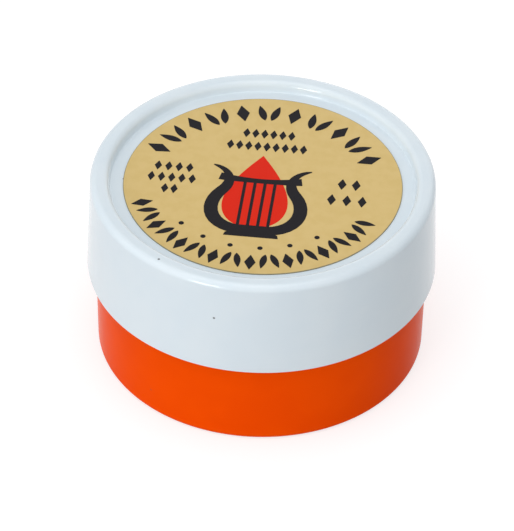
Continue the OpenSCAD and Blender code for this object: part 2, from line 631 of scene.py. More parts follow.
@dataclass
class Turned:
    """A closed surface turned about Z: rows follow a profile, columns stand round the axis.

    The profile starts and ends on the axis, and each end is one shared point.
    """

    radius: Array
    height: Array
    angle: Array

    @classmethod
    def from_profile(cls, profile: Array, angles: Array) -> "Turned":
        """Turns a profile about Z.

        Args:
            profile: Rows of radius and height.
            angles: The columns' angles in radians.

        Returns:
            The surface, whose radius and height may then be changed point by point.
        """
        radius = np.repeat(profile[:, :1], len(angles), axis=1)
        height = np.repeat(profile[:, 1:], len(angles), axis=1)
        return cls(radius, height, np.broadcast_to(angles, radius.shape))

    def points(self) -> Array:
        """Every row as X, Y and Z: radius times cosine, radius times sine, and height."""
        x, y = self.radius * np.cos(self.angle), self.radius * np.sin(self.angle)
        return np.stack([x, y, self.height], axis=-1)

    def mesh(self, name: str, **marks: Array) -> bpy.types.Object:
        """Writes the surface as a mesh with one point at each pole.

        Args:
            name: The piece's name.
            marks: Numbers to keep at each point, by the attribute's name.

        Returns:
            The new object.
        """
        rows, columns = self.radius.shape
        inner = rows - 2
        index = 1 + np.arange(inner * columns).reshape(inner, columns)
        ahead = np.roll(index, -1, axis=1)
        quads = np.stack([index[:-1], index[1:], ahead[1:], ahead[:-1]], axis=-1).reshape(-1, 4)
        last = np.full(columns, inner * columns + 1)
        first_fan = np.column_stack([np.zeros(columns, int), index[0], ahead[0]])
        last_fan = np.column_stack([index[-1], last, ahead[-1]])
        flat = {key: self.in_one_row(mark) for key, mark in marks.items()}
        points = self.in_one_row(self.points())
        return write_mesh(name, points, [quads, first_fan, last_fan], flat, smooth=True)

    @staticmethod
    def in_one_row(values: Array) -> Array:
        """Values row after row, with one value for each pole."""
        inner = values[1:-1].reshape(-1, *values.shape[2:])
        return np.concatenate([values[:1, 0], inner, values[-1:, 0]])


def write_mesh(name: str, points: Array, faces: list[Array],
               marks: dict[str, Array] | None = None, smooth: bool = False) -> bpy.types.Object:
    """Writes a closed surface into a new object, with its faces turned outwards.

    The sign of the volume under the faces says which way they look: it is the sum, over the
    first three corners of each face, of the dot product of one with the cross of the others.

    Args:
        name: The piece's name.
        points: Rows of X, Y and Z in millimetres.
        faces: Arrays of corners, each with one face to a row.
        marks: Numbers to keep at each point, by the attribute's name.
        smooth: Whether the faces are shaded smooth.

    Returns:
        The new object.
    """
    fans = [f[:, [0, k, k + 1]] for f in faces for k in range(1, f.shape[1] - 1)]
    triangles = np.concatenate(fans)
    a, b, c = (points[triangles[:, k]] for k in range(3))
    if np.einsum("ij,ij->", a, np.cross(b, c)) < 0:
        faces = [f[:, ::-1] for f in faces]
    sizes = np.concatenate([np.full(len(f), f.shape[1]) for f in faces])
    corners = np.concatenate([f.ravel() for f in faces])
    mesh = bpy.data.meshes.new(name)
    mesh.vertices.add(len(points))
    mesh.vertices.foreach_set("co", (points * MM).astype(np.float32).ravel())
    mesh.loops.add(len(corners))
    mesh.loops.foreach_set("vertex_index", corners.astype(np.int32))
    mesh.polygons.add(len(sizes))
    mesh.polygons.foreach_set("loop_start", (np.cumsum(sizes) - sizes).astype(np.int32))
    mesh.polygons.foreach_set("use_smooth", np.full(len(sizes), smooth))
    mesh.update(calc_edges=True)
    for key, values in (marks or {}).items():
        kept = mesh.attributes.new(key, "FLOAT", "POINT")
        kept.data.foreach_set("value", values.astype(np.float32))
    return stand(name, mesh)


def fit_out(piece: bpy.types.Object, body: Body, node: str | None,
            finish: Finish) -> bpy.types.Object:
    """Gives a piece its finish and its body, and hides the CAD node that it stands for.

    Args:
        piece: The piece.
        body: The body that it rides on.
        node: The CAD node that it replaces, or None.
        finish: What makes the material.

    Returns:
        The same piece.
    """
    piece.data.materials.append(finish.build())
    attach(piece, body.value)
    if node:
        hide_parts(node)
    LOG.info("%s: %d faces on %s", piece.name, len(piece.data.polygons), body.value)
    return piece


@dataclass(frozen=True)
class Ribs:
    """Thin moulded ribs, evenly spaced round the inside of a wall."""

    count: int
    width: float
    radius: float
    between: int
    spread: float = 4.0

    def columns(self) -> tuple[Array, Array]:
        """Angles of a turned surface's columns, close together at the ribs' edges.

        Returns:
            The angles in radians, and how far each column lies from the middle of its rib as a
            length round the wall.
        """
        half = self.width / 2
        edge = half * np.array([0.5, 0.8, 0.92, 0.98, 1.0, 1.08])
        around = half + np.array([0.5, 1.1, 1.9, 2.9, self.spread])
        beside = np.concatenate([edge, around])
        near = np.concatenate([-beside[::-1], [0.0], beside])
        pitch = TURN * self.radius / self.count
        far = np.linspace(near[-1], pitch - near[-1], self.between + 2)[1:-1]
        one = np.concatenate([near, far])
        middles = np.arange(self.count)[:, None] * TURN / self.count
        away = np.minimum(np.abs(one), pitch - np.abs(one))
        return (middles + one / self.radius).ravel(), np.tile(away, self.count)

    def shape(self, away: Array) -> Array:
        """Cross-section of a rib with rounded corners: 1 at its middle, 0 past its edge.

        Args:
            away: Distance from the middle of the rib.

        Returns:
            The share of the rib's depth there.
        """
        return squarish(away / (self.width / 2), 8)


# ------------------------------------------------------------------------------------- pieces


@dataclass(frozen=True)
class Plan:
    """Heights and radii that the pieces share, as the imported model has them."""

    floor_z: float
    cake_z: float
    cake_top: float
    rim_z: float
    mouth_z: float
    cushion_z: float
    panel_z: float
    label_z: float
    label_top: float
    lid_top: float
    felt_r: float
    cake_r: float
    shoulder_r: float
    mouth_r: float
    cushion_r: float
    label_r: float

    @classmethod
    def from_frame(cls) -> "Plan":
        """Reads the sizes from the CAD nodes' boxes.

        Returns:
            The plan, in millimetres.
        """
        boxes = {node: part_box(node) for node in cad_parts}
        low = {node: box[0].z / MM for node, box in boxes.items()}
        high = {node: box[1].z / MM for node, box in boxes.items()}
        wide = {node: box[1].x / MM for node, box in boxes.items()}
        return cls(
            floor_z=low["cake_felt"], cake_z=low["rosin_cake"], cake_top=high["rosin_cake"],
            rim_z=high["base_cup"], mouth_z=low["lid_shell"], cushion_z=low["lid_cushion"],
            panel_z=high["lid_cushion"], label_z=low["top_label"], label_top=high["top_label"],
            lid_top=high["lid_shell"], felt_r=wide["cake_felt"], cake_r=wide["rosin_cake"],
            shoulder_r=wide["base_cup"], mouth_r=wide["lid_shell"], cushion_r=wide["lid_cushion"],
            label_r=wide["top_label"],
        )


@dataclass
class Cup:
    """The orange cup: drafted wall, foot ring, stepped neck with its bead, and crush ribs."""

    plan: Plan
    seam: float = 0.3
    shoulder_w: float = 0.4
    wall: float = 1.3
    draft: float = 0.6
    foot_round: float = 0.9
    foot_recess: float = 0.8
    foot_ring_w: float = 2.0
    foot_slope: float = 25.0
    inner_round: float = 0.15
    outer_round: float = 0.2
    edge_round: float = 0.3
    corner_round: float = 1.2
    bead_h: float = 0.2
    bead_round: float = 0.6
    bead_z: float = 19.9
    gate_r: float = 1.1
    gate_h: float = 0.3
    gate_dimple: float = 0.05
    rib_count: int = 8
    rib_middle: float = 1.0
    rib_gap: float = 0.05
    rib_drop: float = 2.0
    foot_worn: float = 1.3
    lip_worn: float = 0.7
    shoulder_worn: float = 0.5

    def profile(self) -> Array:
        """Section of the cup, from under the middle of its floor, out and over the neck, and in.

        Returns:
            Rows of radius and height.
        """
        plan, edge, tan = self.plan, self.edge_round, np.tan(np.radians(self.draft))
        shoulder_z = plan.mouth_z - self.seam
        neck_r = plan.shoulder_r - self.shoulder_w
        in_r = neck_r - self.wall
        wall_r = plan.shoulder_r - tan * (shoulder_z - self.foot_round)
        ring_r = plan.shoulder_r - tan * shoulder_z - self.foot_round - self.foot_ring_w
        recess_r = ring_r - self.foot_recess / 2
        bead_x = neck_r + self.bead_h - self.bead_round
        reach = np.degrees(np.arccos((neck_r - bead_x) / self.bead_round))
        small, large = self.inner_round, self.outer_round
        gate_z = self.foot_recess - self.gate_h
        return np.concatenate([
            [[0, gate_z + self.gate_dimple]],
            arc(self.gate_r - large, gate_z + large, large, -90, 0),
            arc(self.gate_r + small, self.foot_recess - small, small, 180, 90),
            arc(recess_r - small, self.foot_recess - small, small, 90, self.foot_slope),
            arc(ring_r + small, small, small, 180 + self.foot_slope, 270),
            arc(wall_r - self.foot_round / np.cos(np.radians(self.draft)), self.foot_round,
                self.foot_round, -90, -self.draft, 7.5),
            arc(plan.shoulder_r - large, shoulder_z - large, large, -self.draft, 90),
            arc(neck_r + small, shoulder_z + small, small, 270, 180),
            arc(bead_x, self.bead_z, self.bead_round, -reach, reach),
            arc(neck_r - edge, plan.rim_z - edge, edge, 0, 90),
            arc(in_r + edge, plan.rim_z - edge, edge, 90, 180),
            self.rib_rows(in_r),
            arc(in_r - self.corner_round, plan.floor_z + self.corner_round, self.corner_round,
                0, -90),
            [[0, plan.floor_z]],
        ])

    def rib_rows(self, in_r: float) -> Array:
        """Rows of the bore close together at the ribs' upper edge, to keep it crisp.

        Args:
            in_r: Radius of the bore.

        Returns:
            Rows of radius and height.
        """
        top = self.plan.rim_z - self.rib_drop
        drops = np.array([-0.04, 0.0, 0.02, 0.07, 0.16, 0.3])
        return np.column_stack([np.full(len(drops), in_r), top - drops])

    def build(self) -> bpy.types.Object:
        """Turns the section, pushes the ribs out of the bore and marks the worn edges.

        Returns:
            The cup.
        """
        plan = self.plan
        ribs = Ribs(self.rib_count, RIB_W, radius=plan.cake_r + self.rib_middle, between=14)
        angles, away = ribs.columns()
        turned = Turned.from_profile(held(self.profile(), ROW_GAP), angles)
        rib_r, rib_top = plan.cake_r + self.rib_gap, plan.rim_z - self.rib_drop
        inside = np.cumsum(turned.height[:, :1] >= plan.rim_z - NEAR, axis=0) > 0
        upper = squarish(1 - (rib_top - turned.height) / RIB_END, 6)
        depth = np.where(inside & (turned.height <= rib_top), turned.radius - rib_r, 0).clip(0)
        turned.radius = turned.radius - depth * ribs.shape(away) * upper
        foot = ease(self.foot_worn, 0.0, turned.height) * (turned.radius > plan.cake_r)
        lip = ease(self.lip_worn, 0.0, np.abs(turned.height - plan.rim_z))
        corner = np.hypot(turned.radius - plan.shoulder_r, turned.height - plan.mouth_z)
        wear = foot + lip * 0.6 + ease(self.shoulder_worn, 0.0, corner) * 0.7
        piece = turned.mesh("cup_shell", wear=np.clip(wear, 0, 1))
        return fit_out(piece, Body.BASE, "base_cup", CUP_ORANGE)


@dataclass
class Lid:
    """The white lid: drafted skirt, raised rounded rim, recessed panel, stop ribs and bead."""

    plan: Plan
    wall: float = 1.4
    draft: float = 2.4
    rim_round: float = 1.25
    crest_w: float = 0.85
    crest_round: float = 1.1
    rim_slope: float = 78.0
    edge_round: float = 0.3
    corner_round: float = 1.2
    bead_tip_r: float = 28.35
    bead_round: float = 0.6
    bead_z: float = 18.4
    rib_count: int = 12
    rib_r: float = 26.8
    outer_wall: float = 1.5
    sink: float = 0.022
    sink_half: float = 1.3
    crest_worn: float = 1.1
    mouth_worn: float = 0.8
    crest_wear: float = 0.12
    mouth_wear: float = 0.4

    def skirt(self, mouth_r: float, z: Any) -> Any:
        """Radius of the drafted skirt at a height, from its radius at the mouth."""
        return mouth_r - np.tan(np.radians(self.draft)) * (z - self.plan.mouth_z)

    def profile(self) -> Array:
        """Section of the lid, from under the panel, down the skirt, up its outside and over the rim.

        Returns:
            Rows of radius and height.
        """
        plan, edge, cos = self.plan, self.edge_round, np.cos(np.radians(self.draft))
        in_r = plan.mouth_r - self.wall
        corner_z = plan.panel_z - self.corner_round
        rim_z = plan.lid_top - self.rim_round
        rim_x = self.skirt(plan.mouth_r, rim_z) - self.rim_round / cos
        crest_r = rim_x - self.crest_w
        slope = np.radians(self.rim_slope)
        slope_h = plan.lid_top - plan.label_z - self.crest_round * (1 - np.cos(slope))
        recess_r = crest_r - self.crest_round * np.sin(slope) - slope_h / np.tan(slope)
        crease_r = recess_r - edge * np.tan(slope / 2)
        bead_x = self.bead_tip_r + self.bead_round
        reach = np.degrees(np.arccos((bead_x - self.skirt(in_r, self.bead_z)) / self.bead_round))
        return np.concatenate([
            [[x, plan.panel_z] for x in (0, self.rib_r - RIB_END, self.rib_r)],
            arc(self.skirt(in_r, corner_z) - self.corner_round / cos, corner_z, self.corner_round,
                90, self.draft),
            self.rib_rows(in_r),
            arc(bead_x, self.bead_z, self.bead_round, 180 - reach, 180 + reach),
            arc(in_r + edge, plan.mouth_z + edge, edge, 180, 270),
            arc(plan.mouth_r - edge, plan.mouth_z + edge, edge, -90, 0),
            arc(rim_x, rim_z, self.rim_round, self.draft, 90, 5.0),
            arc(crest_r, plan.lid_top - self.crest_round, self.crest_round,
                90, 90 + self.rim_slope, 6.0),
            arc(crease_r, plan.label_z + edge, edge, self.rim_slope - 90, -90),
            [[0, plan.label_z]],
        ])

    def rib_rows(self, in_r: float) -> Array:
        """Rows of the skirt's inside close together at the ribs' feet, to keep them crisp.

        Args:
            in_r: Radius of the skirt's inside at the mouth.

        Returns:
            Rows of radius and height.
        """
        rises = np.array([0.3, 0.16, 0.07, 0.02, 0.0, -0.04])
        heights = self.plan.rim_z + rises
        return np.column_stack([self.skirt(in_r, heights), heights])

    def build(self) -> bpy.types.Object:
        """Turns the section, pushes the stop ribs inwards and marks the worn edges.

        The outside of the skirt sinks a little opposite each rib, as thick moulded plastic does:
        by the exponential of minus the square of the distance from the rib's middle.

        Returns:
            The lid.
        """
        plan = self.plan
        ribs = Ribs(self.rib_count, RIB_W, radius=self.rib_r, between=8)
        angles, away = ribs.columns()
        turned = Turned.from_profile(held(self.profile(), ROW_GAP), angles)
        inside = np.cumsum(turned.height[:, :1] <= plan.mouth_z + NEAR, axis=0) == 0
        lower = squarish(1 - (turned.height - plan.rim_z) / RIB_END, 6)
        ribbed = inside & (turned.height >= plan.rim_z)
        depth = np.where(ribbed, turned.radius - self.rib_r, 0).clip(0)
        skirted = ~inside & (turned.radius > self.rib_r + self.outer_wall)
        opposite = ease(plan.rim_z - 1, plan.rim_z + 2, turned.height)
        hollow = np.exp(-((away / self.sink_half) ** 2)) * opposite
        hollow = hollow * ease(plan.lid_top - 0.5, plan.lid_top - 4, turned.height)
        ribbing = depth * ribs.shape(away) * lower
        turned.radius = turned.radius - ribbing - skirted * hollow * self.sink
        crest = ease(self.crest_worn, 0.0, plan.lid_top - turned.height) * ~inside
        mouth = ease(self.mouth_worn, 0.0, turned.height - plan.mouth_z)
        wear = crest * self.crest_wear + mouth * self.mouth_wear
        piece = turned.mesh("lid_cap", wear=np.clip(wear, 0, 1))
        return fit_out(piece, Body.LID, "lid_shell", LID_WHITE)


@dataclass
class RosinCake:
    """The cast cake: drafted side, a shallow run where the bow is drawn, and chipped edges."""

    plan: Plan
    edge_round: float = 2.0
    foot_round: float = 0.8
    draft: float = 1.0
    dish: float = 0.12
    run_depth: float = 0.35
    run_half: float = 5.5
    ripple: float = 0.05
    knocks: int = 7
    chips: int = 3
    chip_spread: float = 0.05
    chip_ball: tuple[float, float] = (2.5, 9.0)
    chip_bite: tuple[float, float] = (0.08, 0.32)
    row_gap: float = 0.6
    columns: int = 420

    def profile(self) -> Array:
        """Section of the cake, from the middle of its foot to the middle of its top.

        Returns:
            Rows of radius and height.
        """
        plan, tan = self.plan, np.tan(np.radians(self.draft))
        top_r = plan.cake_r - tan * (plan.cake_top - plan.cake_z - self.edge_round)
        top_x = top_r - self.edge_round / np.cos(np.radians(self.draft))
        return np.concatenate([
            [[0, plan.cake_z]],
            arc(plan.cake_r - self.foot_round, plan.cake_z + self.foot_round, self.foot_round,
                -90, 0, 12.0),
            arc(top_x, plan.cake_top - self.edge_round, self.edge_round, self.draft, 90, 5.0),
            [[0, plan.cake_top]],
        ])

    def wobble(self, angle: Array, height: Array) -> Array:
        """Low waves of the cast side: a sum of cosines of the angle that drift with the height.

        Args:
            angle: Angle of each point in radians.
            height: Height of each point.

        Returns:
            The waves, from 0 to 1.
        """
        draws = np.random.default_rng(5)
        waves = [
            np.cos(k * angle + draws.uniform(0, TURN) + height * draws.uniform(-0.2, 0.2)) / k
            for k in (2, 3, 5, 8)
        ]
        total = sum(waves)
        return (total - total.min()) / np.ptp(total)

    def chip_away(self, points: Array) -> tuple[Array, Array]:
        """Takes shell-shaped chips off the upper edge.

        Each knock leaves a few chips side by side, and each chip is a ball that bites into the
        edge. A point inside the ball moves out along the line from the ball's centre to its
        surface, which leaves a hollow.

        Args:
            points: The cake's points, one row and column each.

        Returns:
            The moved points, and a mark of 1 on what was chipped.
        """
        draws = np.random.default_rng(12)
        mark = np.zeros(points.shape[:2])
        knocks = draws.uniform(0, TURN, self.knocks)
        drafted_in, corner_in = 0.35, self.edge_round * (1 - np.cos(np.pi / 4))
        edge, height = self.plan.cake_r - drafted_in - corner_in, self.plan.cake_top - corner_in
        for knock in np.repeat(knocks, self.chips):
            angle = knock + draws.normal(0, self.chip_spread)
            ball, bite = draws.uniform(*self.chip_ball), draws.uniform(*self.chip_bite)
            out = np.array([np.cos(angle), np.sin(angle), 1.0]) / np.sqrt(2)
            base = np.array([np.cos(angle) * edge, np.sin(angle) * edge, height])
            centre = base + out * (ball - bite)
            gap = points - centre
            far = np.linalg.norm(gap, axis=-1, keepdims=True)
            hit = far < ball
            points = np.where(hit, centre + gap / far * ball, points)
            mark = np.maximum(mark, hit[..., 0])
        return points, mark

    def build(self) -> bpy.types.Object:
        """Turns the section, wears the top and chips the edge.

        The top falls by a dish towards its middle and by a flat-bottomed run along X, whose
        depth is the exponential of minus the fourth power of Y over the run's half width.

        Returns:
            The cake.
        """
        plan = self.plan
        angles = np.linspace(0, TURN, self.columns, endpoint=False)
        turned = Turned.from_profile(held(self.profile(), self.row_gap), angles)
        side = ease(plan.cake_z, plan.cake_z + 1, turned.height) * (turned.radius > plan.cake_r / 2)
        waves = self.wobble(turned.angle, turned.height) * self.ripple * side
        turned.radius = turned.radius - waves
        points = turned.points()
        top = ease(plan.cake_top - self.edge_round, plan.cake_top, turned.height)
        run = np.exp(-((points[..., 1] / self.run_half) ** 4)) * top
        dish = ease(plan.cake_r - self.edge_round, plan.cake_r / 3, turned.radius) * top
        points[..., 2] -= dish * self.dish + run * self.run_depth
        points, chip = self.chip_away(points)
        x, y, z = np.moveaxis(points, -1, 0)
        angle = np.where(turned.radius > 0, np.arctan2(y, x), turned.angle)
        piece = Turned(np.hypot(x, y), z, angle).mesh("rosin_block", bow_run=run, chip=chip)
        return fit_out(piece, Body.BASE, "rosin_cake", CastRosin())


@dataclass(frozen=True)
class SoftDisc:
    """A die-cut soft disc with rounded edges, a drawn-in side, a crowned foot and a lumpy skin.

    The side stands in by the waist times the sine of pi times the share of the height. The foot
    rises from its middle to its edge by the crown times the square of the share of the radius.
    The lumps are half of one plus the hyperbolic tangent of a seeded sum of waves.
    """

    name: str
    radius: float
    low: float
    high: float
    crown: float
    foot_round: float
    top_round: float
    lumps: float
    waist: float
    row_gap: float
    columns: int
    seed: int
    waves: int = 14

    def profile(self) -> Array:
        """Section of the disc, from the middle of its foot to the middle of its top."""
        foot, top = self.foot_round, self.top_round
        return np.concatenate([
            [[0, self.low]],
            arc(self.radius - foot, self.low + foot, foot, -90, 0),
            arc(self.radius - top, self.high - top, top, 0, 90),
            [[0, self.high]],
        ])

    def skin(self, points: Array) -> Array:
        """Lumps of the skin at each point, from 0 to 1.

        Args:
            points: Rows and columns of X, Y and Z.

        Returns:
            The lumps.
        """
        draws = np.random.default_rng(self.seed)
        x, y, z = np.moveaxis(points, -1, 0)
        waves = [
            np.cos(x * draws.uniform(1.0, 4.0) + y * draws.uniform(-4.0, 4.0)
                   + z * draws.uniform(1.0, 3.0) + draws.uniform(0, TURN))
            for _ in range(self.waves)
        ]
        return 0.5 + 0.5 * np.tanh(sum(waves) / 3)

    def build(self) -> bpy.types.Object:
        """Turns the section, draws in its side and lifts its foot.

        Returns:
            The disc.
        """
        angles = np.linspace(0, TURN, self.columns, endpoint=False)
        turned = Turned.from_profile(held(self.profile(), self.row_gap), angles)
        share = (turned.height - self.low) / (self.high - self.low)
        outer = ease(self.radius - 2 * self.foot_round, self.radius, turned.radius)
        lumps = self.lumps * self.skin(turned.points())
        drawn = self.waist * np.sin(np.pi * share) + lumps
        turned.radius = np.where(turned.radius > 0, turned.radius - outer * drawn, 0)
        lift = self.crown * (turned.radius / self.radius) ** 2 + lumps
        turned.height = turned.height + lift * ease(1.0, 0.0, share)
        return turned.mesh(self.name, dust=ease(0.5, 0.0, share))


@dataclass
class SoftDiscs:
    """The felt disc under the cake and the foam cushion in the lid."""

    plan: Plan

    def build(self) -> list[bpy.types.Object]:
        """Makes both discs.

        Returns:
            The felt disc and the foam cushion.
        """
        plan = self.plan
        felt = SoftDisc(
            "felt_disc", plan.felt_r, plan.floor_z, plan.cake_z, crown=0.0, foot_round=0.28,
            top_round=0.28, lumps=0.05, waist=0.06, row_gap=0.7, columns=260, seed=3).build()
        foam = SoftDisc(
            "foam_cushion", plan.cushion_r, plan.cushion_z, plan.panel_z, crown=0.35, foot_round=1.1,
            top_round=0.25, lumps=0.10, waist=0.30, row_gap=0.42, columns=340, seed=4).build()
        fit_out(felt, Body.BASE, "cake_felt", PressedFelt())
        fit_out(foam, Body.LID, "lid_cushion", OpenCellFoam())
        return [felt, foam]


# -------------------------------------------------------------------------------------- label


def along(path: Array, half: Array) -> Mark:
    """Edges of a mark that follows a path with a changing width.

    Each edge is the path moved sideways by half the width, square to the path's own direction.

    Args:
        path: Points of the middle line.
        half: Half the width at each point.

    Returns:
        The left and the right edge.
    """
    ahead = np.gradient(path, axis=0)
    ahead = ahead / np.linalg.norm(ahead, axis=1, keepdims=True)
    side = np.column_stack([-ahead[:, 1], ahead[:, 0]]) * np.reshape(half, (-1, 1))
    return path + side, path - side


def placed(mark: Mark, x: float, y: float, turn: float = 0.0) -> Mark:
    """A mark turned about its own origin and moved to a place on the label.

    Args:
        mark: The mark's edges.
        x: Place of its origin to the right.
        y: Place of its origin towards the top.
        turn: Angle it is turned by, counterclockwise.

    Returns:
        The moved edges.
    """
    angle = np.radians(turn)
    spin = np.array([[np.cos(angle), np.sin(angle)], [-np.sin(angle), np.cos(angle)]])
    return tuple(edge @ spin + (x, y) for edge in mark)


def plates(name: str, marks: Iterable[Mark], low: float, thick: float,
           step: float = 0.0) -> bpy.types.Object:
    """Flat marks as one piece of thin closed plates.

    Each plate's section is a four-cornered loop of left and right, low and high. The loops join
    along the mark, and the first and last are closed.

    Args:
        name: The piece's name.
        marks: The marks' edges.
        low: Height of the plates' undersides.
        thick: Thickness of the first.
        step: What each next plate is thicker by, so that crossing plates share no face.

    Returns:
        The new object.
    """
    points, sides, caps, start = [], [], [], 0
    for left, right in marks:
        count = len(left)
        loop = np.stack([left, right, right, left], axis=1)
        top = low + thick + step * len(points)
        rise = np.broadcast_to([low, low, top, top], (count, 4))[..., None]
        points.append(np.concatenate([loop, rise], axis=-1).reshape(-1, 3))
        index = start + np.arange(count * 4).reshape(count, 4)
        ahead = np.roll(index, -1, axis=1)
        quads = np.stack([index[:-1], index[1:], ahead[1:], ahead[:-1]], axis=-1)
        sides.append(quads.reshape(-1, 4))
        caps.append(np.stack([index[0], index[-1][::-1]]))
        start += count * 4
    return write_mesh(name, np.concatenate(points), [np.concatenate(sides), np.concatenate(caps)])


def lozenge(length: float, width: float) -> Mark:
    """A diamond that stands on its point, with slightly blunt ends."""
    path = np.column_stack([np.zeros(3), [-length / 2, 0, length / 2]])
    return along(path, np.array([0.04, width / 2, 0.04]))


def leaf(length: float, width: float) -> Mark:
    """A leaf with its foot at the origin: the half width goes nearly with the sine.

    Args:
        length: Length of the leaf.
        width: Its greatest width.

    Returns:
        The leaf's edges.
    """
    t = np.linspace(0, 1, 13)
    path = np.column_stack([np.zeros(t.size), t * length])
    return along(path, 0.03 + width / 2 * np.sin(np.pi * t**0.85) ** 0.9)


def sprig(length: float, width: float, spread: float) -> list[Mark]:
    """Two leaves that part upwards, side by side, with their feet half their length below zero.

    Args:
        length: Length of each leaf.
        width: Its greatest width.
        spread: Angle that each leans out by.

    Returns:
        Both leaves.
    """
    apart = 0.42 * width
    one = leaf(length, width)
    return [placed(one, -apart * side, -length / 2, spread * side) for side in (-1, 1)]


def bends(controls: list[tuple[float, float]], count: int = 12) -> Array:
    """Points along smooth bends in a chain, each with four control points and a shared end.

    With t from 0 to 1 and u as 1 less t, a point is u cubed times the first control, plus three
    u squared t times the second, plus three u t squared times the third, plus t cubed times the
    fourth.

    Args:
        controls: The control points, three more for each next bend.
        count: Number of steps in each bend.

    Returns:
        The points.
    """
    t = np.linspace(0, 1, count + 1)[1:, None]
    u = 1 - t
    weights = np.concatenate([u**3, 3 * u**2 * t, 3 * u * t**2, t**3], axis=1)
    points = np.array(controls, float)
    chains = [weights @ points[k:k + 4] for k in range(0, len(points) - 1, 3)]
    return np.concatenate([points[:1], *chains])


def dot(radius: float) -> Mark:
    """A round dot: the half width goes with the sine of an angle and the height with its cosine.

    Args:
        radius: Radius of the dot.

    Returns:
        The dot's edges.
    """
    angle = np.linspace(0.06, np.pi - 0.06, 17)
    path = np.column_stack([np.zeros(17), -radius * np.cos(angle)])
    return along(path, radius * np.sin(angle))


@dataclass
class Label:
    """The round label: gold paper printed with a leafy border and a lyre on a drop of resin."""

    plan: Plan
    edge_round: float = 0.04
    ink_t: float = 0.03
    ink_in: float = 0.005
    ink_step: float = 0.001
    drop_share: float = 0.7
    upper_ring: float = 19.9
    lower_ring: float = 20.5
    sprig_ring: float = 20.3
    dot_ring: float = 16.8
    shift: tuple[float, float] = (-0.45, -0.3)

    def paper(self) -> bpy.types.Object:
        """The paper disc, cut square at its foot and with a soft upper edge.

        Returns:
            The disc.
        """
        plan, edge = self.plan, self.edge_round
        profile = np.concatenate([
            [[0, plan.label_z], [plan.label_r, plan.label_z]],
            arc(plan.label_r - edge, plan.label_top - edge, edge, 0, 90, 30),
            [[0, plan.label_top]],
        ])
        angles = np.linspace(0, TURN, 256, endpoint=False)
        piece = Turned.from_profile(held(profile, 2.0), angles).mesh("label_disc")
        return fit_out(piece, Body.LID, "top_label", LabelPaper(plan.label_r))

    def ring(self, mark: list[Mark], radius: float, start: float, stop: float,
             count: int, pick: slice = slice(None)) -> list[Mark]:
        """Copies of a mark round an arc, each standing towards the centre.

        Args:
            mark: The mark's parts.
            radius: Distance of the marks from the centre.
            start: Angle of the first mark from +X.
            stop: Angle of the last mark.
            count: Number of places.
            pick: Which of the places are used.

        Returns:
            The copies.
        """
        angles = np.linspace(start, stop, count)[pick]
        x = self.shift[0] + radius * np.cos(np.radians(angles))
        y = self.shift[1] + radius * np.sin(np.radians(angles))
        spots = np.column_stack([x, y, angles - 90])
        return [placed(part, *spot) for spot in spots for part in mark]

    def row(self, mark: Mark, x: float, y: float, width: float, count: int) -> list[Mark]:
        """Copies of a mark in a level row.

        Args:
            mark: The mark's edges.
            x: Middle of the row.
            y: Height of the row on the label.
            width: Distance from the first to the last.
            count: Number of marks.

        Returns:
            The copies.
        """
        return [placed(mark, x + self.shift[0] + step, y + self.shift[1])
                for step in np.linspace(-width / 2, width / 2, count)]

    def border(self) -> list[Mark]:
        """The black border: lozenges and sprigs round the edge, and small marks inside it.

        Returns:
            The marks.
        """
        odd, even = slice(1, None, 2), slice(0, None, 2)
        small, large = lozenge(2.4, 1.25), lozenge(2.8, 1.5)
        return [
            *self.ring([lozenge(4.4, 2.3)], self.upper_ring, 157, 27, 11, even),
            *self.ring(sprig(4.2, 1.3, 17), self.upper_ring, 157, 27, 11, odd),
            *self.ring([lozenge(3.7, 1.9)], self.lower_ring, -159, -26, 16, even),
            *self.ring(sprig(3.6, 1.1, 17), self.sprig_ring, -26, -159, 16, even),
            *self.ring([dot(0.45)], self.dot_ring, -135, -49, 6),
            *self.row(small, 0, 13.9, 7.8, 6),
            *self.row(small, 0, 10.4, 12.6, 9),
            *self.row(small, -15.1, 3.0, 5.4, 4),
            *self.row(small, -15.1, 0.0, 7.0, 5),
            *self.row(small, -15.1, -3.0, 1.6, 2),
            *self.row(large, 15.0, 1.9, 2.4, 2),
            *self.row(large, 15.0, -2.4, 5.2, 3),
        ]

    def drop(self) -> Mark:
        """The red drop of resin: a round foot that narrows to a point at the top.

        With t from 0 at the foot to pi at the tip, the height goes with minus the cosine of t
        and the half width with the sine of t times the cosine of half of t, to the power 1.1.

        Returns:
            The drop's edges.
        """
        t = np.linspace(0.05, np.pi - 0.05, 61)
        height = -1.9 - 9.8 * np.cos(t)
        half = 7.35 * np.sin(t) * np.cos(t / 2) ** 1.1
        path = np.column_stack([np.full(t.size, -0.3), height])
        return placed(along(path, half), *self.shift)

    def lyre(self) -> list[Mark]:
        """The black lyre: two swept arms that taper to their tips, a yoke, strings and a foot.

        Returns:
            The lyre's marks.
        """
        bowl = [(0.8, -12.2), (7.2, -12.8), (9.2, -6.6), (6.2, -2.2)]
        arm = bends([*bowl, (4.6, 0.2), (5.0, 3.4), (8.4, 4.5)])
        share = np.linspace(0, 1, len(arm))
        swell = 0.12 + 1.35 * np.sqrt(1 - share) * (0.72 + 0.28 * np.sin(np.pi * share))
        yoke = bends([(-7.0, 1.5), (-3.0, 0.7), (3.0, 0.7), (7.0, 1.5)])
        waist = 0.95 - 0.35 * np.cos(np.linspace(-np.pi / 2, np.pi / 2, len(yoke)))
        foot = np.array([[0, -14.0], [0, -13.2], [0, -12.6], [0, -11.0]])
        strings = [np.array([[x, -11.2], [x, 0.9]]) for x in (-2.55, -0.85, 0.85, 2.55)]
        parts = [
            *(along(arm * (side, 1), swell) for side in (1, -1)),
            along(yoke, waist),
            *(along(string, np.full(2, 0.27)) for string in strings),
            along(foot, np.array([4.6, 4.4, 3.2, 2.2])),
        ]
        return [placed(part, *self.shift) for part in parts]

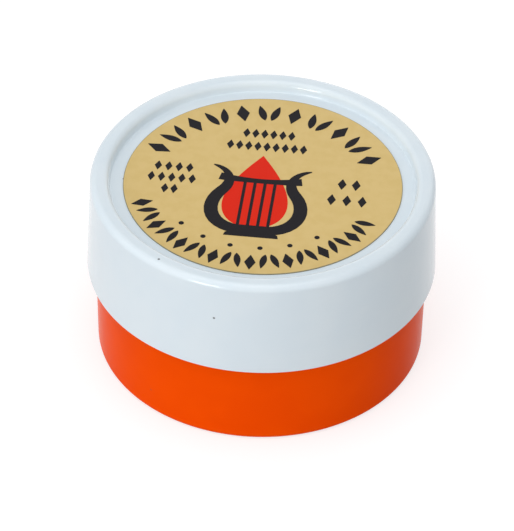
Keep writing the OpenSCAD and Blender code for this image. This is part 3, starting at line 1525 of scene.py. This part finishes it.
    def build(self) -> list[bpy.types.Object]:
        """Makes the paper and its three prints.

        Returns:
            The paper, the border, the drop and the lyre.
        """
        low, thick = self.plan.label_top - self.ink_in, self.ink_t
        border = plates("label_border", self.border(), low, thick)
        drop = plates("label_drop", [self.drop()], low, thick * self.drop_share)
        lyre = plates("label_lyre", self.lyre(), low, thick, self.ink_step)
        for piece, ink in ((border, BLACK_INK), (drop, RED_INK), (lyre, BLACK_INK)):
            fit_out(piece, Body.LID, None, ink)
        return [self.paper(), border, drop, lyre]


# ------------------------------------------------------------------------------------- studio


@dataclass(frozen=True)
class Softbox:
    """A square area lamp that looks at the box.

    Its level is what a white surface that faces it would show, which sets the power: level times
    pi squared times the square of the distance.
    """

    name: str
    azimuth: float
    elevation: float
    distance: float
    width: float
    level: float

    def build(self, target: Vector) -> None:
        """Hangs the lamp.

        Args:
            target: The point it looks at, in metres.
        """
        data = bpy.data.lights.new(self.name, "AREA")
        data.size = self.width
        data.energy = self.level * np.pi**2 * self.distance**2
        away = direction(self.azimuth, self.elevation)
        lamp = stand(self.name, data)
        lamp.location = target + away * self.distance
        lamp.rotation_euler = away.to_track_quat("Z", "Y").to_euler()


@dataclass
class Studio:
    """White table, even and nearly white surroundings, soft lamps and the camera."""

    floor_size: float = 6.0
    floor_gap: float = 0.02
    floor_white: float = 0.45
    world_level: float = 0.56
    world_tint: Colour = (0.97, 0.985, 1.0)
    shown_lift: float = 0.66
    lit_height: float = 15.0
    azimuth: float = 6.0
    elevation: float = 40.14
    roll: float = 1.06
    distance: float = 600.0
    lens: float = 235.3
    aim_side: float = -0.74
    aim_height: float = 14.56

    def shown(self, graph: Graph) -> Signal:
        """Tells the rays that show the background: from the camera, off gloss, or through glass.

        Args:
            graph: The tree that asks.

        Returns:
            1 for such a ray and 0 for any other.
        """
        path = graph.add("LightPath")
        kinds = ("Camera", "Glossy", "Transmission")
        seen, gloss, glass = (Signal(graph, path.outputs[f"Is {kind} Ray"]) for kind in kinds)
        return (seen + gloss + glass).at_most(1.0)

    def floor(self) -> None:
        """A white table top. What the camera sees of it is lifted to white and keeps its shadow."""
        half, z = self.floor_size / 2, -self.floor_gap * MM
        corners = [(-half, -half, z), (half, -half, z), (half, half, z), (-half, half, z)]
        mesh = bpy.data.meshes.new("table_top")
        mesh.from_pydata(corners, [], [(0, 1, 2, 3)])
        graph = Graph.named("table_white")
        white = (self.floor_white,) * 3
        matt = graph.add("BsdfDiffuse", {}, {"Color": white})
        glow = graph.add("Emission", {}, {"Strength": self.shown(graph) * self.shown_lift})
        both = graph.add("AddShader", {}, {0: matt.outputs[0], 1: glow.outputs[0]})
        graph.add("OutputMaterial", {}, {"Surface": both.outputs[0]})
        mesh.materials.append(graph.owner)
        stand("table_top", mesh)

    def world(self) -> None:
        """Even surroundings, dimmer as a light than where the camera, gloss or glass shows them."""
        graph = Graph(bpy.data.worlds.new("white_room"))
        level = self.world_level + self.shown(graph) * (1 - self.world_level)
        sky = graph.add("Background", {}, {"Color": self.world_tint, "Strength": level})
        graph.add("OutputWorld", {}, {"Surface": sky.outputs[0]})
        bpy.context.scene.world = graph.owner

    def lamps(self) -> None:
        """Broad lamps on the left, overhead, on the right and behind, and a small low window."""
        softboxes = (
            Softbox("side", -64, 28, distance=0.9, width=0.90, level=0.18),
            Softbox("window", -26, 9, distance=0.8, width=0.25, level=0.29),
            Softbox("top", -20, 80, distance=0.9, width=0.70, level=0.27),
            Softbox("fill", 35, 20, distance=1.1, width=1.40, level=0.14),
            Softbox("back", 172, 14, distance=1.3, width=1.20, level=0.19),
        )
        for softbox in softboxes:
            softbox.build(Vector((0, 0, self.lit_height * MM)))

    def camera(self) -> None:
        """The camera, rolled a little about its own axis, so that the box leans."""
        data = bpy.data.cameras.new("camera")
        data.lens = self.lens
        data.sensor_width = 36.0
        data.clip_start, data.clip_end = 0.05, 20.0
        away = direction(self.azimuth, self.elevation)
        a = np.radians(self.azimuth)
        aim = Vector((self.aim_side * np.cos(a), self.aim_side * np.sin(a), self.aim_height)) * MM
        lean = Matrix.Rotation(np.radians(self.roll), 3, "Z")
        look = away.to_track_quat("Z", "Y").to_matrix() @ lean
        camera = stand("camera", data)
        camera.matrix_world = Matrix.Translation(aim + away * self.distance * MM) @ look.to_4x4()
        bpy.context.scene.camera = camera

    def build(self) -> None:
        """Sets up the table, the surroundings, the lamps and the camera."""
        self.floor()
        self.world()
        self.lamps()
        self.camera()
        bpy.context.scene.view_settings.view_transform = "Standard"


def main() -> None:
    """Builds the studio and every piece in turn."""
    logging.basicConfig(level=logging.INFO, format="%(message)s")
    plan = Plan.from_frame()
    Studio().build()
    Cup(plan).build()
    SoftDiscs(plan).build()
    RosinCake(plan).build()
    Lid(plan).build()
    Label(plan).build()


if __name__ == "__main__":
    main()
